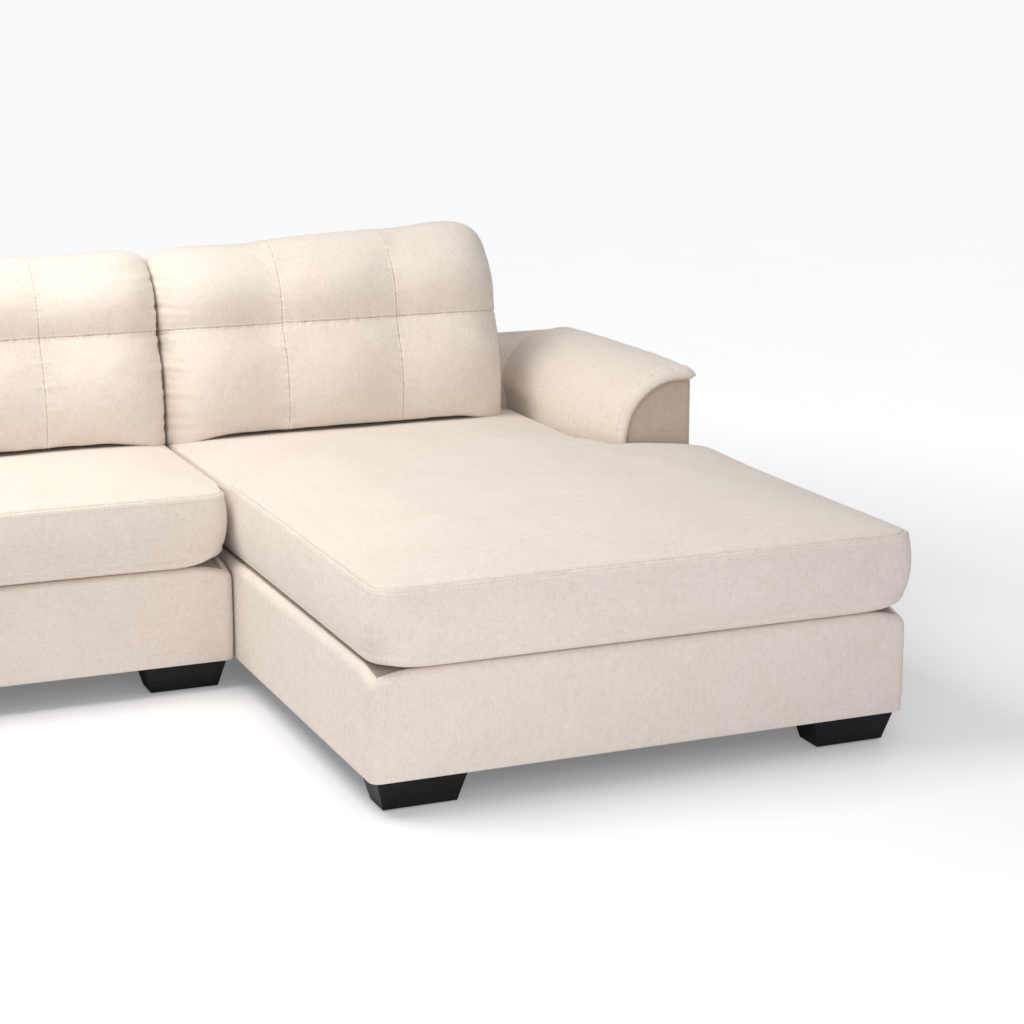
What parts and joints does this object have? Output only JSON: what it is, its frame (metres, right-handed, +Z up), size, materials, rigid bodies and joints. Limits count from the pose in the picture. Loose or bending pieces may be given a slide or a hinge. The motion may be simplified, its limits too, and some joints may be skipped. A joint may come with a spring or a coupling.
{
  "type": "corner sofa",
  "caption": "Cream fabric corner sofa with a right-hand chaise, loose boxed seat cushions, panel-stitched back cushions, low padded arms and black tapered block legs.",
  "frame": {"origin": "on the floor, under the middle of the overall box", "axes": "+X along the back towards the chaise end, +Y to the rear, +Z up; the sofa faces -Y"},
  "size_m": [2.2575, 1.7206, 0.9196],
  "materials": {
    "cover_fabric": "matte",
    "leg_finish": "satin",
    "frame_timber": "matte",
    "webbing": "matte",
    "dust_lining": "matte",
    "steel": "satin",
    "glide_plastic": "matte",
    "deck_felt": "matte"
  },
  "bodies": {
    "sofa_module": {"link_plates": "steel", "sofa_arm_frame": "frame_timber", "sofa_arm_front_panel": "cover_fabric", "sofa_arm_outer_panel": "cover_fabric", "sofa_arm_pad": "cover_fabric", "sofa_back_frame": "frame_timber", "sofa_back_top_pad": "cover_fabric", "sofa_back_webbing": "webbing", "sofa_cross_rails": "frame_timber", "sofa_deck_pad": "deck_felt", "sofa_dust_cover": "dust_lining", "sofa_front_border": "cover_fabric", "sofa_front_rail": "frame_timber", "sofa_inside_back": "cover_fabric", "sofa_leg_blocks": "frame_timber", "sofa_leg_bolts": "steel", "sofa_leg_front_left": "leg_finish", "sofa_leg_front_right": "leg_finish", "sofa_leg_glides": "glide_plastic", "sofa_leg_rear_left": "leg_finish", "sofa_leg_rear_right": "leg_finish", "sofa_link_screws": "steel", "sofa_outside_back": "cover_fabric", "sofa_rear_rail": "frame_timber", "sofa_seat_webbing": "webbing", "sofa_side_borders": "cover_fabric", "sofa_side_rails": "frame_timber"},
    "chaise_module": {"chaise_arm_frame": "frame_timber", "chaise_arm_front_panel": "cover_fabric", "chaise_arm_outer_panel": "cover_fabric", "chaise_arm_pad": "cover_fabric", "chaise_back_frame": "frame_timber", "chaise_back_top_pad": "cover_fabric", "chaise_back_webbing": "webbing", "chaise_cross_rails": "frame_timber", "chaise_deck_pad": "deck_felt", "chaise_dust_cover": "dust_lining", "chaise_front_border": "cover_fabric", "chaise_front_rail": "frame_timber", "chaise_inside_back": "cover_fabric", "chaise_leg_blocks": "frame_timber", "chaise_leg_bolts": "steel", "chaise_leg_front_left": "leg_finish", "chaise_leg_front_right": "leg_finish", "chaise_leg_glides": "glide_plastic", "chaise_leg_rear_left": "leg_finish", "chaise_leg_rear_right": "leg_finish", "chaise_link_screws": "steel", "chaise_outside_back": "cover_fabric", "chaise_rear_rail": "frame_timber", "chaise_seat_webbing": "webbing", "chaise_side_borders": "cover_fabric", "chaise_side_rails": "frame_timber", "receiver_plates": "steel"},
    "sofa_seat": {"sofa_seat_cushion": "cover_fabric"},
    "sofa_back_pillow": {"sofa_back_cushion": "cover_fabric"},
    "chaise_seat": {"chaise_seat_cushion": "cover_fabric"},
    "chaise_back_pillow": {"chaise_back_cushion": "cover_fabric"}
  },
  "joints": [
    {"name": "chaise_unhook", "type": "slide", "parent": "sofa_module", "child": "chaise_module", "axis": [0, 0, 1], "range_m": [0, 0.06]},
    {"name": "sofa_seat_slide", "type": "slide", "parent": "sofa_module", "child": "sofa_seat", "axis": [0, -1, 0], "range_m": [0, 0.45]},
    {"name": "sofa_back_lift", "type": "slide", "parent": "sofa_module", "child": "sofa_back_pillow", "axis": [0, 0, 1], "range_m": [0, 0.25]},
    {"name": "chaise_seat_slide", "type": "slide", "parent": "chaise_module", "child": "chaise_seat", "axis": [0, -1, 0], "range_m": [0, 0.45]},
    {"name": "chaise_back_lift", "type": "slide", "parent": "chaise_module", "child": "chaise_back_pillow", "axis": [0, 0, 1], "range_m": [0, 0.25]}
  ]
}
